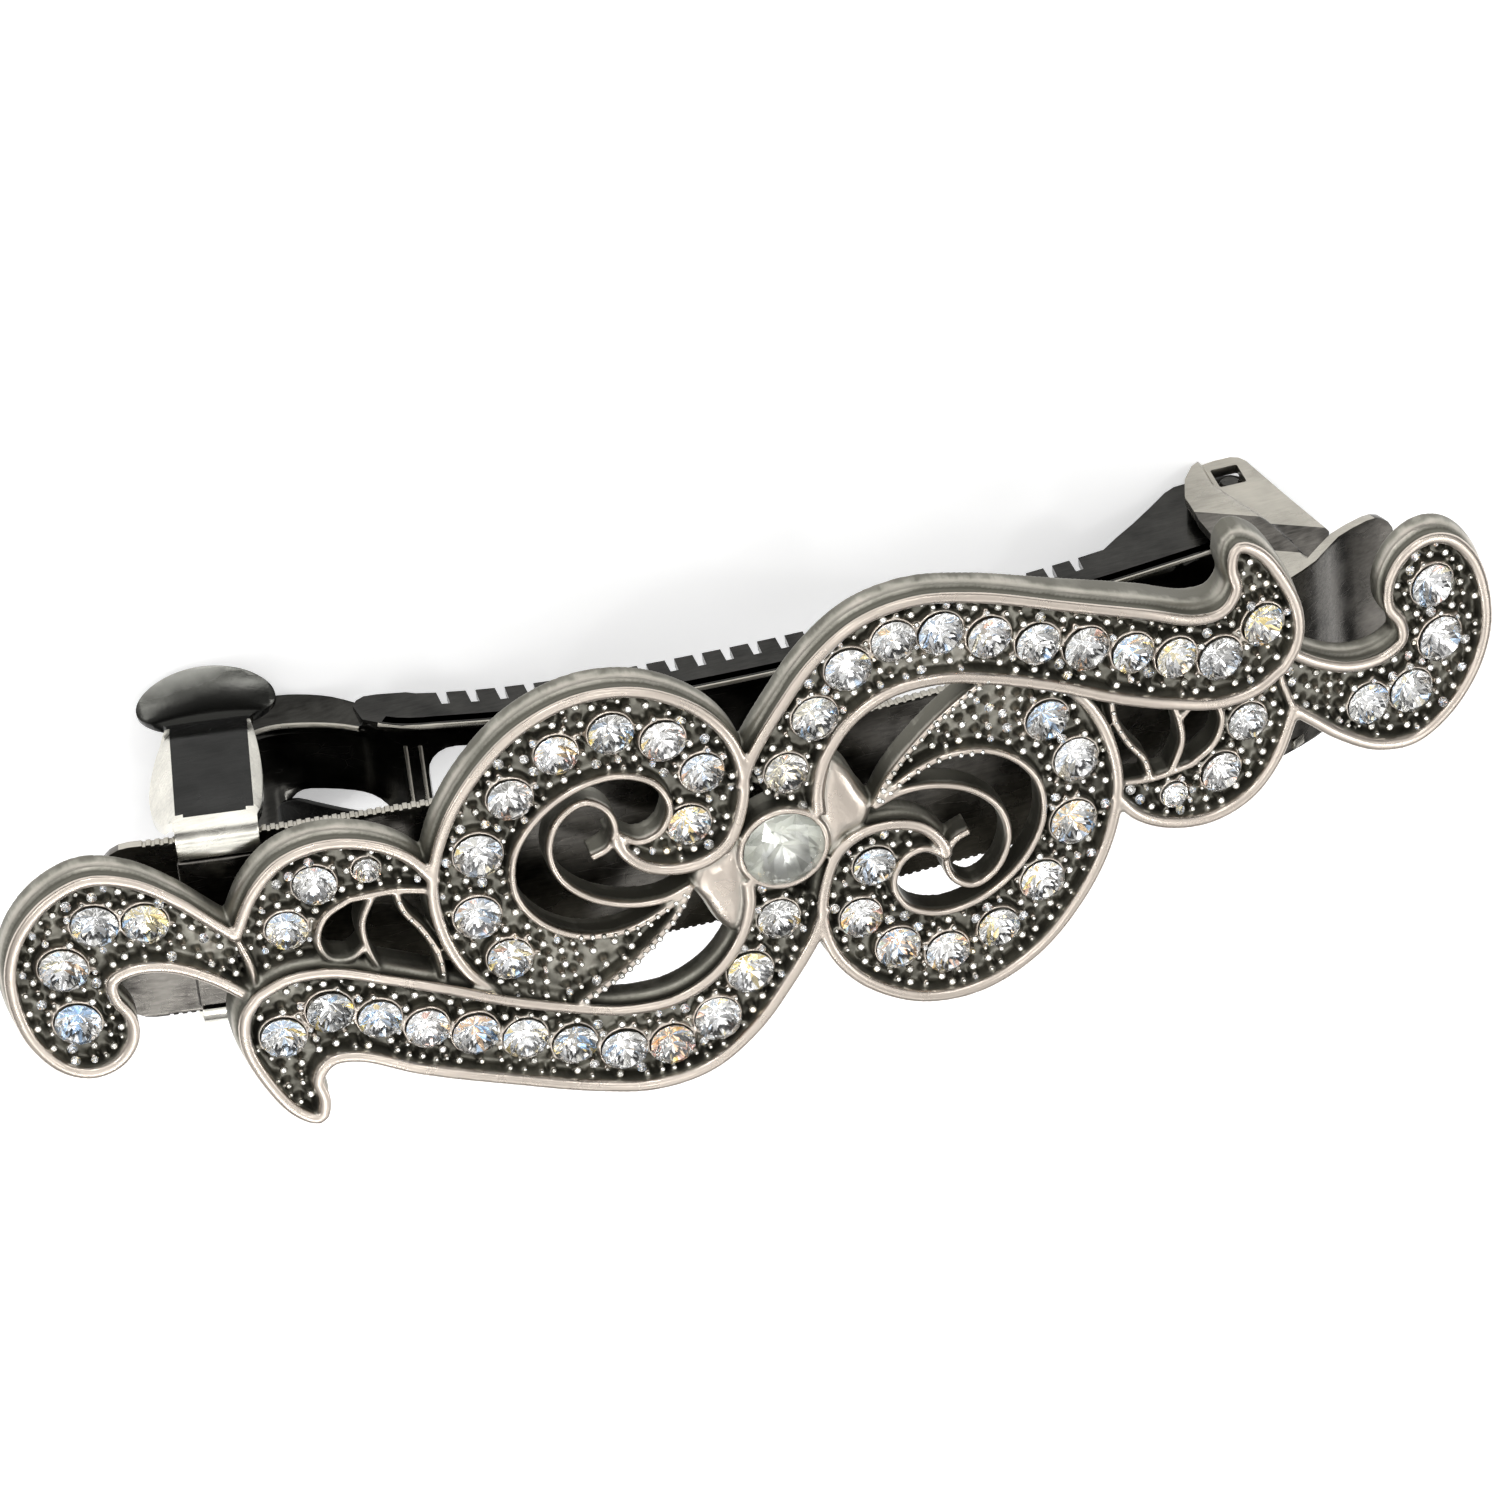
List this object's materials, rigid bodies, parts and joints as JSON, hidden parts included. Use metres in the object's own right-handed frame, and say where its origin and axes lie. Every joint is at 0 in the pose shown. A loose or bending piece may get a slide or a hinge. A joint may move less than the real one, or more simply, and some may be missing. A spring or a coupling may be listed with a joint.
{
  "type": "hair_clip",
  "caption": "Arched openwork scroll hair clip in antique silver set with clear rhinestones, on a spring barrette with a hinged toothed locking bar and a sprung double-prong catch.",
  "frame": {"origin": "On the resting plane under the middle stone, midway along and across the clip.", "axes": "+X along the clip from the catch to the hinge, +Y across it, +Z out of the decorated face. The clip lies face up on its hinge ears and finger tabs."},
  "size_m": [0.089, 0.0294, 0.0228],
  "materials": {
    "antique_silver": "antique silver plating over a zinc casting, oxidised in the recesses",
    "crystal": "clear, faceted, foil backed",
    "dark_nickel": "dark polished nickel plating",
    "spring_steel": "polished nickel plated spring steel"
  },
  "bodies": {
    "frame": {"ornament_casting": "antique_silver", "middle_stone": "crystal", "arm_stone_right_1": "crystal", "arm_stone_right_2": "crystal", "arm_stone_right_3": "crystal", "arm_stone_right_4": "crystal", "arm_stone_right_5": "crystal", "arm_stone_right_6": "crystal", "arm_stone_right_7": "crystal", "arm_stone_right_8": "crystal", "arm_stone_right_9": "crystal", "arm_stone_right_10": "crystal", "arm_stone_right_11": "crystal", "arm_stone_right_12": "crystal", "scroll_stone_right_1": "crystal", "scroll_stone_right_2": "crystal", "scroll_stone_right_3": "crystal", "scroll_stone_right_4": "crystal", "scroll_stone_right_5": "crystal", "scroll_stone_right_6": "crystal", "scroll_stone_right_7": "crystal", "scroll_stone_right_8": "crystal", "scroll_stone_right_9": "crystal", "small_scroll_stones_right": "crystal", "leaf_stones_right": "crystal", "arm_stone_left_1": "crystal", "arm_stone_left_2": "crystal", "arm_stone_left_3": "crystal", "arm_stone_left_4": "crystal", "arm_stone_left_5": "crystal", "arm_stone_left_6": "crystal", "arm_stone_left_7": "crystal", "arm_stone_left_8": "crystal", "arm_stone_left_9": "crystal", "arm_stone_left_10": "crystal", "arm_stone_left_11": "crystal", "arm_stone_left_12": "crystal", "scroll_stone_left_1": "crystal", "scroll_stone_left_2": "crystal", "scroll_stone_left_3": "crystal", "scroll_stone_left_4": "crystal", "scroll_stone_left_5": "crystal", "scroll_stone_left_6": "crystal", "scroll_stone_left_7": "crystal", "scroll_stone_left_8": "crystal", "scroll_stone_left_9": "crystal", "small_scroll_stones_left": "crystal", "leaf_stones_left": "crystal", "base_plate": "dark_nickel", "mounting_post_right": "dark_nickel", "mounting_post_left": "dark_nickel", "tension_spring": "spring_steel", "spring_rivet": "dark_nickel", "catch_bridge": "spring_steel", "catch_rivet": "dark_nickel", "hinge_pin": "dark_nickel"},
    "bar": {"locking_bar": "dark_nickel"},
    "prong_back": {"catch_prong_back": "spring_steel"},
    "prong_front": {"catch_prong_front": "spring_steel"}
  },
  "joints": [
    {"name": "bar_swing", "type": "hinge", "parent": "frame", "child": "bar", "pos_m": [0.0332, -0.00128, 0.002], "axis": [0, -1, 0], "range_deg": [0, 95]},
    {"name": "prong_back_flex", "type": "hinge", "parent": "frame", "child": "prong_back", "pos_m": [-0.0309, 0.00535, 0.01408], "axis": [0.9853, 0, 0.1706], "range_deg": [-2.5, 5], "stiffness_Nm_per_rad": 0.5},
    {"name": "prong_front_flex", "type": "hinge", "parent": "frame", "child": "prong_front", "pos_m": [-0.0309, -0.0079, 0.01408], "axis": [0.9853, 0, 0.1706], "range_deg": [-5, 2.5], "stiffness_Nm_per_rad": 0.5}
  ]
}
